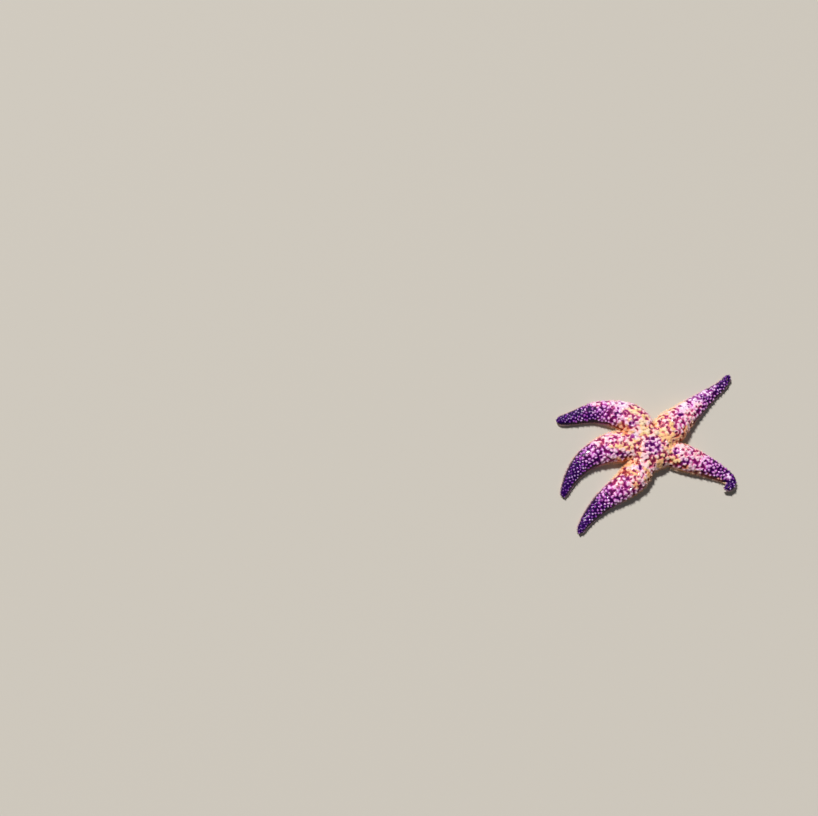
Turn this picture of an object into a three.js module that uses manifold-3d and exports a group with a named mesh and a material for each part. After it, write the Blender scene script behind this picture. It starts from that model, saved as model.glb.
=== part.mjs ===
// A five-armed sea star (northern Pacific sea star), life size, lying flat on its underside.
// Millimetres, +Z up. The origin is the middle of the whole star's outline, on the plane it rests on.
// Each arm is a loft that follows its own bends. The arms are joined over a low dome, then parted by
// thin cuts into a disc and three lengths of each arm. The surface stands at the tips of the spines.
import * as THREE from 'three';
import { mergeVertices } from 'three/addons/utils/BufferGeometryUtils.js';
import Module from 'manifold-3d';

// ---------------------------------------------------------------- driving dimensions
const DISC_AT = [2.6, 3.3];        // the disc's centre, from the middle of the outline
const DISC_RADIUS = 20;            // the arms are parted from the disc here
const DOME = { radius: 20.5, height: 17.0, squareness: 0.8 };
const PARTING = 0.3;               // width of every cut between two named pieces

// Each arm leaves the disc at `aim` degrees, then turns by the three bends on its way out.
// girth is its greatest half-width; tip is the share of it left at the end; lift raises the end.
const ARMS = [
  { aim: 44.5, near: -5, middle: -4, curl: 21, length: 105.5, girth: 14.8, tip: 0.18, taper: 0.75, lift: 2.5 },
  { aim: 113, near: 57, middle: 27, curl: -7, length: 101.5, girth: 14.6, tip: 0.26, taper: 1.07, lift: 2.0 },
  { aim: 173, near: 32, middle: 32, curl: 15, length: 102.5, girth: 14.0, tip: 0.20, taper: 1.09, lift: 1.5 },
  { aim: 241.5, near: -29, middle: 15, curl: 14, length: 104, girth: 12.8, tip: 0.22, taper: 1.15, lift: 2.0 },
  { aim: 345.5, near: -7, middle: -9, curl: -155, length: 89.5, girth: 12.0, tip: 0.18, taper: 1.6, lift: 5.0 },
];
const BEND_SPANS = { near: [0.10, 0.50], middle: [0.45, 0.80], curl: [0.78, 1.00] };
const WAIST = 0.92;                // an arm is a little slimmer where it leaves the disc
const RISE = 1.12;                 // arm height over half-width, at the disc
const RISE_LOSS = 0.10;            // how much flatter the arm is at its tip
const LIFTS_FROM = 0.74;           // where along an arm its end starts to rise
const CUTS = [0.49, 0.75];         // where along an arm its base, middle and tip are parted
const LENGTH_NAMES = ['base', 'middle', 'tip'];

// The section of an arm: a dome down to its widest line, tucked in below that, and a flat sole.
const MARGIN = 0.30;               // height of the widest line, as a share of the arm's height
const SQUARENESS = 0.82;           // below 1 the dome is fuller than an ellipse
const TUCK = 22;                   // how far the side turns in under the widest line, degrees
const SOLE = 0.84;                 // width of the flat sole over the arm's width
const DOME_ENDS = 112.5, SOLE_STARTS = 135; // in degrees round the section, from the ridge

const AROUND = 16, ALONG = 26;     // facets round an arm and along it
const ROOT = 8;                    // an arm's loft starts this far from the disc's centre
const SPINE = 1.3;                 // how far a spine stands out of the hollow beside it
const FRINGE = 1.9;                // the same for the fringe of spines along the arm's edge
const SPINES_FROM = 0.16;          // where along an arm its own spines start
const DOME_FACETS = { around: 20, along: 5 };

const GROOVE = { width: 5.2, depth: 5.0, endWidth: 1.4, endDepth: 1.2, last: 0.97, facets: 15 };
const MOUTH = { radius: 5.5, depth: 3.2 };
const FOOT = { radius: 0.85, sides: 5, pitch: 13.0, aside: 0.9, clear: 0.35, last: 0.80 };
const MADREPORITE = { radius: 2.6, rise: 0.9, depth: 2.4, from: 13.5, heading: 77 };
const EYESPOT_RADIUS = 0.8;

// ---------------------------------------------------------------- solids
const wasm = await Module();
wasm.setup();
const UP = new THREE.Vector3(0, 0, 1);
const { degToRad, radToDeg, smoothstep, lerp, clamp } = THREE.MathUtils;

function solid(geometry, matrix = new THREE.Matrix4()) {
  const bare = geometry.clone().applyMatrix4(matrix);
  bare.deleteAttribute('normal');
  bare.deleteAttribute('uv');
  const merged = mergeVertices(bare, 1e-4);
  return new wasm.Manifold(new wasm.Mesh({
    numProp: 3,
    vertProperties: merged.attributes.position.array,
    triVerts: new Uint32Array(merged.index.array),
  }));
}

function geometryOf(manifold) {
  const mesh = manifold.getMesh();
  const geometry = new THREE.BufferGeometry();
  geometry.setAttribute('position', new THREE.BufferAttribute(mesh.vertProperties, 3));
  geometry.setIndex(new THREE.BufferAttribute(mesh.triVerts, 1));
  return geometry;
}

const join = (solids) => solids.reduce((all, next) => all.add(next));

// Moves and turns a shape that was made along +Y so that +Y points along `direction`.
function placed(at, direction = UP) {
  const turn = new THREE.Quaternion().setFromUnitVectors(new THREE.Vector3(0, 1, 0), direction);
  return new THREE.Matrix4().compose(at, turn, new THREE.Vector3(1, 1, 1));
}

// A closed tube whose corners go where `at(corner)` puts them. corner.u runs 0 to 1 along the tube
// and corner.turn in degrees round it. Every second corner may carry a spine; the diagonals of the
// quads then run between the hollows, so that each spine is a small pyramid of its own.
function loft(sides, rings, at) {
  const tube = new THREE.CylinderGeometry(1, 1, 1, sides, rings);
  const corners = tube.attributes.position;
  const spines = new Set();
  for (let i = 0; i < corners.count; i++) {
    const turn = radToDeg(Math.atan2(corners.getX(i), corners.getZ(i)));
    const u = corners.getY(i) + 0.5;
    const rim = Math.hypot(corners.getX(i), corners.getZ(i)) > 0.5;
    const spine = rim && (Math.round(u * rings) + Math.round(turn * sides / 360)) % 2 === 0;
    if (spine) spines.add(i);
    const point = at({ u, turn, rim, spine });
    corners.setXYZ(i, point.x, point.y, point.z);
  }
  const index = tube.index.array;
  for (let f = 0; f < sides * rings * 6; f += 6) {
    const [a, b, d, , c] = index.slice(f, f + 5);
    if (spines.has(b)) index.set([a, b, c, a, c, d], f);
  }
  return solid(tube);
}

// ---------------------------------------------------------------- the line an arm follows
function headingAt(arm, u) {
  const turned = Object.entries(BEND_SPANS)
    .map(([bend, [from, to]]) => arm[bend] * smoothstep(u, from, to));
  return degToRad(arm.aim + turned.reduce((sum, turn) => sum + turn));
}

function armLine(arm, steps = 240) {
  const points = [new THREE.Vector3(DISC_AT[0], DISC_AT[1], 0)];
  for (let i = 1; i <= steps; i++) {
    const heading = headingAt(arm, (i - 0.5) / steps);
    const step = new THREE.Vector3(Math.cos(heading), Math.sin(heading), 0);
    points.push(points[i - 1].clone().addScaledVector(step, arm.length / steps));
  }
  return points;
}
for (const arm of ARMS) arm.line = armLine(arm);

// The place, direction, right-hand side, half-width, height and lift at share u of an arm's length.
function station(arm, u) {
  const exact = u * (arm.line.length - 1);
  const i = Math.min(Math.floor(exact), arm.line.length - 2);
  const heading = headingAt(arm, u);
  const along = new THREE.Vector3(Math.cos(heading), Math.sin(heading), 0);
  const swell = lerp(WAIST, 1, smoothstep(u, 0.14, 0.34));
  const taper = 1 - (1 - arm.tip) * clamp((u - 0.28) / 0.72, 0, 1) ** arm.taper;
  const rounding = Math.sqrt(1 - 0.93 * clamp((u - 0.95) / 0.05, 0, 1) ** 2);
  const halfWidth = arm.girth * swell * taper * rounding;
  return {
    at: arm.line[i].clone().lerp(arm.line[i + 1], exact - i),
    along,
    right: along.clone().cross(UP),
    halfWidth,
    height: halfWidth * (RISE - RISE_LOSS * u),
    lift: arm.lift * smoothstep(u, LIFTS_FROM, 1.0),
  };
}

// ---------------------------------------------------------------- arms
// The outline of the section, in half-widths aside and heights up, and the way a spine points.
function section(turn) {
  const slope = degToRad(90 - Math.min(turn, DOME_ENDS) * (90 + TUCK) / DOME_ENDS);
  if (turn >= SOLE_STARTS - 1) {
    return { aside: SOLE * (180 - turn) / (180 - SOLE_STARTS), up: 0, out: [0, 0] };
  }
  const tucked = 1 + 0.8 * Math.sin(slope) / Math.sin(degToRad(TUCK));
  return {
    aside: Math.cos(slope) ** SQUARENESS,
    up: slope > 0 ? lerp(MARGIN, 1, Math.sin(slope)) : MARGIN * tucked,
    out: [Math.cos(slope), Math.sin(slope)],
  };
}

function armSolid(arm) {
  const start = ROOT / arm.length;
  return loft(AROUND, ALONG, (corner) => {
    const u = lerp(start, 1, corner.u);
    const place = station(arm, u);
    if (!corner.rim) return place.at.clone().setZ(place.lift + place.height * 0.4);
    const turn = Math.abs(corner.turn);
    const shape = section(turn);
    const spined = corner.spine && u > SPINES_FROM && u < 0.985;
    const atEdge = turn > 80 && turn < 100;
    const proud = spined ? (atEdge ? FRINGE : SPINE) * lerp(1, 0.45, u) : 0;
    const aside = shape.aside * place.halfWidth + proud * shape.out[0];
    const point = place.at.clone().addScaledVector(place.right, aside * Math.sign(corner.turn));
    return point.setZ(place.lift + shape.up * place.height + proud * shape.out[1]);
  });
}

// ---------------------------------------------------------------- underside
// The groove under an arm, an upside-down V from the mouth to the arm's end.
function grooveAt(u, place) {
  return {
    halfWidth: lerp(GROOVE.width, GROOVE.endWidth, u) / 2,
    depth: Math.min(lerp(GROOVE.depth, GROOVE.endDepth, u), place.height * 0.5),
  };
}

function grooveSolid(arm) {
  return loft(3, GROOVE.facets, (corner) => {
    const place = station(arm, corner.u * GROOVE.last);
    const size = grooveAt(corner.u, place);
    if (!corner.rim || Math.abs(corner.turn) < 1) {
      return place.at.clone().setZ(place.lift + (corner.rim ? size.depth : size.depth / 2));
    }
    // The two lower corners lie as far below the sole as the ridge is above it, and twice as wide.
    const aside = 2 * size.halfWidth * Math.sign(corner.turn);
    return place.at.clone().addScaledVector(place.right, aside).setZ(place.lift - size.depth);
  });
}

// Two staggered rows of stubby tube feet hang from the roof of the groove.
function tubeFeet(arm) {
  const feet = [];
  for (let run = DISC_RADIUS + 4, side = 1; run < arm.length * FOOT.last; run += FOOT.pitch / 2, side = -side) {
    const u = run / arm.length;
    const place = station(arm, u);
    const size = grooveAt(u, place);
    const reach = size.depth + 0.4 - FOOT.clear;
    const slim = lerp(1, 0.6, u);
    const peg = new THREE.CylinderGeometry(FOOT.radius * slim, 0.7 * FOOT.radius * slim, reach, FOOT.sides);
    const at = place.at.clone().addScaledVector(place.right, side * FOOT.aside * slim);
    feet.push(solid(peg, placed(at.setZ(place.lift + FOOT.clear + reach / 2))));
  }
  return feet;
}

// ---------------------------------------------------------------- disc
const discCentre = new THREE.Vector3(DISC_AT[0], DISC_AT[1], 0);
const onDisc = (heading, from) => new THREE.Vector3(Math.cos(heading), Math.sin(heading), 0)
  .multiplyScalar(from).add(discCentre);

// A share of the way from the rim, at 0, to the top, at 1, as a radius and a height of the dome.
function domeAt(share) {
  const slope = share * Math.PI / 2;
  return {
    radius: DOME.radius * Math.cos(slope) ** DOME.squareness,
    up: DOME.height * Math.sin(slope) ** DOME.squareness,
    out: [Math.cos(slope), Math.sin(slope)],
  };
}

function domeHeight(radius) {
  const cosine = (radius / DOME.radius) ** (1 / DOME.squareness);
  return DOME.height * Math.sqrt(1 - cosine ** 2) ** DOME.squareness;
}

function domeSolid() {
  return loft(DOME_FACETS.around, DOME_FACETS.along, (corner) => {
    const shape = domeAt(corner.u * 0.93);
    const proud = corner.spine && corner.u > 0.3 && corner.u < 0.9 ? SPINE : 0;
    const radius = corner.rim ? shape.radius + proud * shape.out[0] : 0;
    const up = corner.u < 0.01 ? 0 : corner.rim ? shape.up + proud * shape.out[1] : DOME.height;
    return onDisc(degToRad(corner.turn), radius).setZ(up);
  });
}

function upright(radius, height, sides) {
  return solid(new THREE.CylinderGeometry(radius, radius, height, sides), placed(discCentre));
}

// ---------------------------------------------------------------- joining and parting
let body = join([...ARMS.map(armSolid), domeSolid()]);
body = body.subtract(join(ARMS.map(grooveSolid)));
body = body.subtract(upright(MOUTH.radius, 2 * MOUTH.depth, 15));
body = join([body, ...ARMS.flatMap(tubeFeet)]);

const TALL = 80;                   // the cutting tools reach right through the body
function discCut() {
  return upright(DISC_RADIUS + PARTING / 2, TALL, 40).subtract(upright(DISC_RADIUS - PARTING / 2, 2 * TALL, 40));
}

// A cut along the crease between one arm and the next, from the disc out to the notch.
const NOTCH = 40;
function creaseCut(arm, next) {
  const out = [arm, next].map((one) => station(one, 30 / one.length).at.sub(discCentre).normalize());
  const middle = out[0].add(out[1]).normalize();
  const at = discCentre.clone().addScaledVector(middle, (DISC_RADIUS + NOTCH) / 2);
  return solid(new THREE.BoxGeometry(PARTING, NOTCH - DISC_RADIUS, TALL), placed(at, middle));
}

function lengthCut(arm, u) {
  const place = station(arm, u);
  const wide = 2 * (place.halfWidth + FRINGE + 1);
  return solid(new THREE.BoxGeometry(wide, PARTING, TALL), placed(place.at, place.along));
}

const cuts = ARMS.flatMap((arm, k) => [
  creaseCut(arm, ARMS[(k + 1) % ARMS.length]),
  ...CUTS.map((u) => lengthCut(arm, u)),
]);
const pieces = body.subtract(join([discCut(), ...cuts])).decompose();

// The piece that holds a point.
function pieceWith(point) {
  const probe = solid(new THREE.BoxGeometry(0.5, 0.5, 0.5), placed(point));
  return pieces.find((piece) => piece.intersect(probe).volume() > 0);
}

// ---------------------------------------------------------------- materials
function skin(color, roughness = 0.5) {
  return new THREE.MeshStandardMaterial({ color, roughness, metalness: 0 });
}
const LENGTH_MATERIALS = { base: skin(0xe0926a), middle: skin(0xa83f8a), tip: skin(0x43127a) };
const DISC_MATERIAL = skin(0xcf7d74);
const PLATE_MATERIAL = skin(0xf0d9a0, 0.65);
const EYE_MATERIAL = skin(0xb3261a, 0.35);

// ---------------------------------------------------------------- the scene graph
const star = new THREE.Group();

// Cuts a pocket in a piece, and drops any splinter of a spine that the cut sets free.
function pocketed(piece, tool) {
  const parts = piece.subtract(tool).decompose();
  return parts.reduce((largest, next) => (next.volume() > largest.volume() ? next : largest));
}

function addNode(name, manifold, material) {
  const mesh = new THREE.Mesh(geometryOf(manifold), material);
  mesh.name = name;
  star.add(mesh);
}

// The madreporite, a round sieve plate, lies in a pocket of the disc between the first two arms.
function plate(grow) {
  const { radius, rise, depth, from, heading } = MADREPORITE;
  const tall = rise + depth + grow;
  const lean = onDisc(degToRad(heading), 0.45).sub(discCentre).add(UP).normalize();
  const top = onDisc(degToRad(heading), from).setZ(domeHeight(from) + rise);
  const at = top.addScaledVector(lean, -tall / 2);
  return solid(new THREE.CylinderGeometry(0.8 * radius + grow, radius + grow, tall, 16), placed(at, lean));
}
const discPiece = pieceWith(discCentre.clone().setZ(DOME.height * 0.6));
addNode('disc', pocketed(discPiece, plate(PARTING)), DISC_MATERIAL);
addNode('madreporite', plate(0), PLATE_MATERIAL);

// A red eyespot is half sunk in the very end of each arm.
function eyespot(arm, grow) {
  const end = station(arm, 1);
  const at = end.at.clone().addScaledVector(end.along, -0.3).setZ(end.lift + end.height * 0.5);
  return solid(new THREE.SphereGeometry(EYESPOT_RADIUS + grow, 8, 4), placed(at));
}

ARMS.forEach((arm, k) => {
  const ends = [DISC_RADIUS / arm.length, ...CUTS, 1];
  LENGTH_NAMES.forEach((name, i) => {
    const place = station(arm, (ends[i] + ends[i + 1]) / 2);
    const piece = pieceWith(place.at.clone().setZ(place.lift + place.height * 0.7));
    const open = name === 'tip' ? pocketed(piece, eyespot(arm, PARTING)) : piece;
    addNode(`arm_${k + 1}_${name}`, open, LENGTH_MATERIALS[name]);
  });
  addNode(`eyespot_${k + 1}`, eyespot(arm, 0), EYE_MATERIAL);
});

export default star;
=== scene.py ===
import bmesh
import bpy
import numpy as np
from mathutils import Matrix, Vector, noise
from mathutils.bvhtree import BVHTree
from mathutils.kdtree import KDTree


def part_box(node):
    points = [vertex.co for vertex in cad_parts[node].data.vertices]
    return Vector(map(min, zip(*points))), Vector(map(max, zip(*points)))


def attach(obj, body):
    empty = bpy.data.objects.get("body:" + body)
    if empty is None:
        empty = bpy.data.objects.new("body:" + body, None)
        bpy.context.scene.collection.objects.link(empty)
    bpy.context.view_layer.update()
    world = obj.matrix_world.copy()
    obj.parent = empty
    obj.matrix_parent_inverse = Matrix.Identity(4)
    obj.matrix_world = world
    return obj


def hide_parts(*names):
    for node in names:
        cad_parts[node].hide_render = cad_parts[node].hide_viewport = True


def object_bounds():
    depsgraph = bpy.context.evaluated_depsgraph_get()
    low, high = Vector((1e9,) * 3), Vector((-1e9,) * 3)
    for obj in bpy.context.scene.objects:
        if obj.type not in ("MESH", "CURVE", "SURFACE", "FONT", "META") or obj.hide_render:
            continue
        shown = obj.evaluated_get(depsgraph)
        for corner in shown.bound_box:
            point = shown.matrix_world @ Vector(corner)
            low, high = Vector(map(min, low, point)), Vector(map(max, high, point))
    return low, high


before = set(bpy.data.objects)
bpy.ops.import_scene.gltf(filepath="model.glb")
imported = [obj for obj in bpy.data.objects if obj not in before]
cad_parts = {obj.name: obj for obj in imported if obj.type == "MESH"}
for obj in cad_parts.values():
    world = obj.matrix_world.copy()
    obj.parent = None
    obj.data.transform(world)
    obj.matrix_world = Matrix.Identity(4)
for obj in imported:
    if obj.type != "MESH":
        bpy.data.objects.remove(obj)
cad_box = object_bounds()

# ------------------------------------------------------------------------------- the five arms
# The arms leave a small disc and taper to a blunt end. Each one has its own bends, as a live
# star's arms have. Lengths are in millimetres and angles in degrees; the widest line of an arm
# is low on its side, and its sole is flat apart from the groove that holds the tube feet.
MM = 0.001
RISE, RISE_LOSS = 1.12, 0.10       # arm height over half-width at the disc, and what the tip loses
MARGIN = 0.30                      # height of the widest line, as a share of the arm's height
SQUARENESS = 0.82                  # below 1 the back is fuller than an ellipse
TUCK = 22                          # how far the side turns in under the widest line
SOLE = 0.84                        # width of the sole over the arm's width
BACK_ENDS, SOLE_STARTS = 112.5, 135.0  # round the section, from the ridge
WAIST, SWELL = 0.92, 0.08          # an arm's width at the disc, and what it gains further out
TAPERS_FROM, LIFTS_FROM = 0.28, 0.74   # where along an arm it narrows and its end rises
ROUNDED = 0.05                     # the share of an arm that rounds off its end
LINE_MARKS = 141                   # how many marks an arm's line is searched at
BATCH = 4096                       # how many points are worked on at once


def smooth(value, start, end):
    share = np.clip((np.asarray(value, float) - start) / (end - start), 0, 1)
    return share * share * (3 - 2 * share)


def unit(vectors):
    return vectors / np.maximum(np.linalg.norm(vectors, axis=-1, keepdims=True), 1e-9)


disc_low, disc_high = (np.array(corner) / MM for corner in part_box("disc"))
DISC = (disc_low + disc_high)[:2] / 2


class Arm:
    """The line, width and height of one arm; u runs from 0 at the disc's centre to 1 at the end."""

    def __init__(self, aim, near, middle, curl, length, girth, tip, taper, lift):
        self.aim, self.bends = aim, ((near, 0.10, 0.50), (middle, 0.45, 0.80), (curl, 0.78, 1.00))
        self.length, self.girth, self.tip, self.taper, self.lift = length, girth, tip, taper, lift
        steps = 240
        heading = self.heading((np.arange(steps) + 0.5) / steps)
        strides = np.stack([np.cos(heading), np.sin(heading)], -1) * length / steps
        self.line = DISC + np.concatenate([[[0, 0]], np.cumsum(strides, axis=0)])

    def heading(self, u):
        turns = sum(turn * smooth(u, start, end) for turn, start, end in self.bends)
        return np.radians(self.aim + turns)

    def place(self, u):
        marks = np.linspace(0, 1, len(self.line))
        return np.stack([np.interp(u, marks, self.line[:, axis]) for axis in (0, 1)], -1)

    def along(self, u):
        return np.stack([np.cos(self.heading(u)), np.sin(self.heading(u))], -1)

    def right(self, u):
        return np.stack([np.sin(self.heading(u)), -np.cos(self.heading(u))], -1)

    def half_width(self, u):
        swell = WAIST + SWELL * smooth(u, 0.14, 0.34)
        narrowing = np.clip((u - TAPERS_FROM) / (1 - TAPERS_FROM), 0, 1)
        taper = 1 - (1 - self.tip) * narrowing ** self.taper
        rounding = np.sqrt(1 - 0.93 * np.clip((u - (1 - ROUNDED)) / ROUNDED, 0, 1) ** 2)
        return self.girth * swell * taper * rounding

    def height(self, u):
        return self.half_width(u) * (RISE - RISE_LOSS * u)

    def raised(self, u):
        return self.lift * smooth(u, LIFTS_FROM, 1.0)

    def surface(self, u, turn):
        """Points of the arm's skin at u along it and turn degrees round it, from the ridge."""
        size = np.abs(turn)
        slope = np.radians(90 - np.minimum(size, BACK_ENDS) * (90 + TUCK) / BACK_ENDS)
        aside = np.cos(slope) ** SQUARENESS
        tucked = MARGIN * (1 + 0.8 * np.sin(slope) / np.sin(np.radians(TUCK)))
        up = np.where(slope > 0, MARGIN + (1 - MARGIN) * np.sin(slope), tucked)
        under = smooth(size, BACK_ENDS, SOLE_STARTS)
        aside = np.where(size > BACK_ENDS, aside + (SOLE - aside) * under, aside)
        up = up * (1 - under)
        sole = SOLE * (180 - size) / (180 - SOLE_STARTS)
        aside = np.where(size > SOLE_STARTS, sole, aside)
        flat = self.place(u) + self.right(u) * (np.sign(turn) * aside * self.half_width(u))[:, None]
        return np.column_stack([flat, self.raised(u) + up * self.height(u)])


ARMS = [
    Arm(44.5, -5, -4, 21, length=105.5, girth=14.8, tip=0.18, taper=0.75, lift=2.5),
    Arm(113, 57, 27, -7, length=101.5, girth=14.6, tip=0.26, taper=1.07, lift=2.0),
    Arm(173, 32, 32, 15, length=102.5, girth=14.0, tip=0.20, taper=1.09, lift=1.5),
    Arm(241.5, -29, 15, 14, length=104, girth=12.8, tip=0.22, taper=1.15, lift=2.0),
    Arm(345.5, -7, -9, -155, length=89.5, girth=12.0, tip=0.18, taper=1.6, lift=5.0),
]


def locate(points):
    """For each point, its arm, how far along that arm it is (0 to 1) and its turn round it."""
    nearest = np.full(len(points), np.inf)
    arm_of, out, turn = np.zeros(len(points), int), np.zeros(len(points)), np.zeros(len(points))
    marks = np.linspace(0, 1, LINE_MARKS)
    for k, arm in enumerate(ARMS):
        line = arm.place(marks)
        for start in range(0, len(points), BATCH):
            rows = slice(start, start + BATCH)
            flat = points[rows, :2]
            closest = ((flat[:, None] - line[None]) ** 2).sum(-1).argmin(1)
            u = marks[closest]
            offset = flat - line[closest]
            u = np.clip(u + (offset * arm.along(u)).sum(-1) / arm.length, 0, 1)
            width = arm.half_width(u)
            aside = (offset * arm.right(u)).sum(-1)
            away = np.linalg.norm(offset, axis=-1) / width
            up = (points[rows, 2] - arm.raised(u)) / arm.height(u)
            better = away < nearest[rows]
            nearest[rows] = np.where(better, away, nearest[rows])
            arm_of[rows] = np.where(better, k, arm_of[rows])
            out[rows] = np.where(better, u, out[rows])
            angle = np.degrees(np.arctan2(aside / width, (up - MARGIN) / (1 - MARGIN)))
            turn[rows] = np.where(better, angle, turn[rows])
    return arm_of, out, turn


# ------------------------------------------------------------------------------- skin
# The skin is soft, wet and tough, drawn over a net of small limy plates. The plates stand up as
# puffy cushions that carry the spines, and the skin between them is thin, dark and sunken.
# It is one closed surface over the disc and all the arms, with a groove along each sole.
DEPTH = 0.5                        # how far the skin's hollows lie inside an arm's outline
SOLE_UP = 1.1                      # height of the sole, which stands on the spines under it
VOXEL = 0.52                       # how fine the skin's mesh is
ROOT = 8                           # how far from the disc's centre an arm's tube starts
SMOOTHINGS = 8
DOME = dict(radius=20.5, height=15.4, squareness=0.8)
GROOVE = dict(width=5.2, depth=5.0, end_width=1.4, end_depth=1.2, last=0.97)
MOUTH = dict(radius=5.5, depth=3.2)
chance = np.random.default_rng(11)

body = bmesh.new()
for arm in ARMS:
    tube = bmesh.new()
    bmesh.ops.create_grid(tube, x_segments=110, y_segments=44, size=0.5)
    sheet = np.array([vert.co[:2] for vert in tube.verts])
    u = ROOT / arm.length + (sheet[:, 0] + 0.5) * (1 - ROOT / arm.length)
    centre = np.column_stack([arm.place(u), arm.raised(u) + 0.4 * arm.height(u)])
    shell = arm.surface(u, sheet[:, 1] * 359.99)
    shell -= DEPTH * unit(shell - centre)
    shell[:, 2] = np.maximum(shell[:, 2], SOLE_UP)
    for vert, point in zip(tube.verts, shell):
        vert.co = Vector(point * MM)
    bmesh.ops.remove_doubles(tube, verts=tube.verts, dist=0.02 * MM)
    bmesh.ops.holes_fill(tube, edges=[edge for edge in tube.edges if edge.is_boundary])
    bmesh.ops.recalc_face_normals(tube, faces=tube.faces)
    part = bpy.data.meshes.new("tube")
    tube.to_mesh(part)
    body.from_mesh(part)
    bpy.data.meshes.remove(part)
    tube.free()

dome = bmesh.ops.create_uvsphere(body, u_segments=56, v_segments=28, radius=1)
for vert in dome["verts"]:
    x, y, z = vert.co
    reach = (x * x + y * y) ** 0.5
    spread = DOME["radius"] - DEPTH
    if z > 0:
        spread *= reach ** (DOME["squareness"] - 1) if reach > 1e-6 else 0
    up = SOLE_UP + (DOME["height"] - SOLE_UP) * max(z, 0) ** DOME["squareness"]
    vert.co = Vector((DISC[0] + x * spread, DISC[1] + y * spread, up)) * MM

rough_body = bpy.data.meshes.new("skin")
body.to_mesh(rough_body)
body.free()
skin = bpy.data.objects.new("skin", rough_body)
bpy.context.collection.objects.link(skin)
joiner = skin.modifiers.new("join", "REMESH")
joiner.mode = "VOXEL"
joiner.voxel_size = VOXEL * MM
whole = bpy.data.meshes.new_from_object(skin.evaluated_get(bpy.context.evaluated_depsgraph_get()))
skin.modifiers.clear()
skin.data = whole

relaxed = bmesh.new()
relaxed.from_mesh(whole)
for _ in range(SMOOTHINGS):
    bmesh.ops.smooth_vert(relaxed, verts=relaxed.verts, factor=0.5,
                          use_axis_x=True, use_axis_y=True, use_axis_z=True)
relaxed.to_mesh(whole)
relaxed.free()


def read(mesh, kind="co"):
    """The mesh's points in millimetres, or their normals."""
    source = mesh.vertices if kind == "co" else mesh.vertex_normals
    values = np.zeros(len(source) * 3)
    source.foreach_get("co" if kind == "co" else "vector", values)
    return values.reshape(-1, 3) / (MM if kind == "co" else 1)


def write(mesh, points):
    mesh.vertices.foreach_set("co", (points * MM).ravel())
    mesh.update()


def groove_size(u):
    """The width and the depth of an arm's groove at u along it."""
    return (GROOVE["width"] + (GROOVE["end_width"] - GROOVE["width"]) * u,
            GROOVE["depth"] + (GROOVE["end_depth"] - GROOVE["depth"]) * u)


def groove_depth(points):
    """How far the sole is hollowed at each point, by the five grooves and the mouth."""
    depth = np.zeros(len(points))
    marks = np.linspace(0, GROOVE["last"], LINE_MARKS)
    for arm in ARMS:
        line = arm.place(marks)
        for start in range(0, len(points), BATCH):
            rows = slice(start, start + BATCH)
            apart = np.linalg.norm(points[rows, None, :2] - line[None], axis=-1)
            width, deep = groove_size(marks[apart.argmin(1)])
            share = apart.min(1) / width * 2
            depth[rows] = np.maximum(depth[rows], deep * np.clip(1 - share ** 2, 0, 1) ** 0.8)
    from_mouth = np.linalg.norm(points[:, :2] - DISC, axis=-1) / MOUTH["radius"]
    return np.maximum(depth, (MOUTH["depth"] + 2) * np.clip(1 - from_mouth ** 2, 0, 1) ** 0.6)


def wander(points, size, seed):
    """Smooth noise of about the given size in millimetres, from -1 to 1."""
    shift = Vector((seed * 17.3, seed * 5.1, seed * 9.7))
    return np.array([noise.noise(Vector(point / size) + shift) for point in points])


# Blotches where the markings stray from their usual run out along the arms, and patches of
# painted light. Each gives its arm, how far out along it, its turn round it and its radius. The
# first one is the disc's middle.
VIOLET_BLOTCHES = [(1, 0.0, 0, 9.8), (2, 0.28, -18, 3.7), (2, 0.45, -8, 4.0), (3, 0.36, -28, 5.0),
                   (3, 0.25, -46, 5.0), (5, 0.23, -4, 4.0), (5, 0.35, 27, 4.5), (4, 0.23, 7, 3.7),
                   (3, 0.50, -44, 6.0), (4, 0.52, -40, 4.0), (1, 0.38, -12, 3.5)]
STRAW_BLOTCHES = [(2, 0.33, 21, 6.5), (2, 0.22, 5, 4.0), (2, 0.14, 0, 4.5), (1, 0.16, -10, 4.5),
                  (3, 0.37, 4, 3.0), (3, 0.31, -3, 3.2), (3, 0.25, -2, 3.2), (3, 0.19, 0, 3.0),
                  (3, 0.28, 66, 5.0), (4, 0.42, 70, 5.0), (5, 0.12, 20, 5.0), (2, 0.24, 32, 4.5),
                  (5, 0.26, 36, 4.0), (4, 0.14, -20, 3.5), (1, 0.24, -82, 6.0), (1, 0.36, -82, 6.0),
                  (1, 0.48, -82, 5.0)]
# Pale patches: partly the skin's own paler colour, partly painted light on the far flanks and along arm
# 1's ridge, where the sun falls on the wet skin.
PALE_AND_LIT_BLOTCHES = [(1, 0.45, 10, 6.5), (1, 0.56, 5, 4.5), (2, 0.50, 40, 6.0), (2, 0.62, 55, 6.0),
                 (3, 0.42, 45, 7.0), (3, 0.20, 2, 4.0), (3, 0.17, 40, 4.0), (4, 0.45, 35, 6.0),
                 (5, 0.30, -55, 7.0), (5, 0.46, -50, 6.0), (1, 0.34, -72, 6.0), (4, 0.32, 0, 5.0)]
ORANGE_BLOTCHES = [(1, 0.16, -72, 5.0), (4, 0.24, -62, 5.0), (5, 0.23, 44, 3.7),
                   (4, 0.23, -37, 3.7), (4, 0.36, -28, 4.0), (4, 0.22, 70, 7.0), (4, 0.36, 80, 6.0),
                   (1, 0.22, 56, 6.5), (1, 0.31, 48, 5.0), (1, 0.40, 60, 5.0), (2, 0.38, -56, 5.5),
                   (2, 0.30, -64, 5.5), (5, 0.27, 34, 3.5), (5, 0.50, 92, 7.0), (5, 0.62, 92, 6.0),
                   (5, 0.74, 92, 5.0), (4, 0.20, 34, 4.5), (4, 0.33, 34, 4.5), (5, 0.37, 50, 3.5)]
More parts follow.
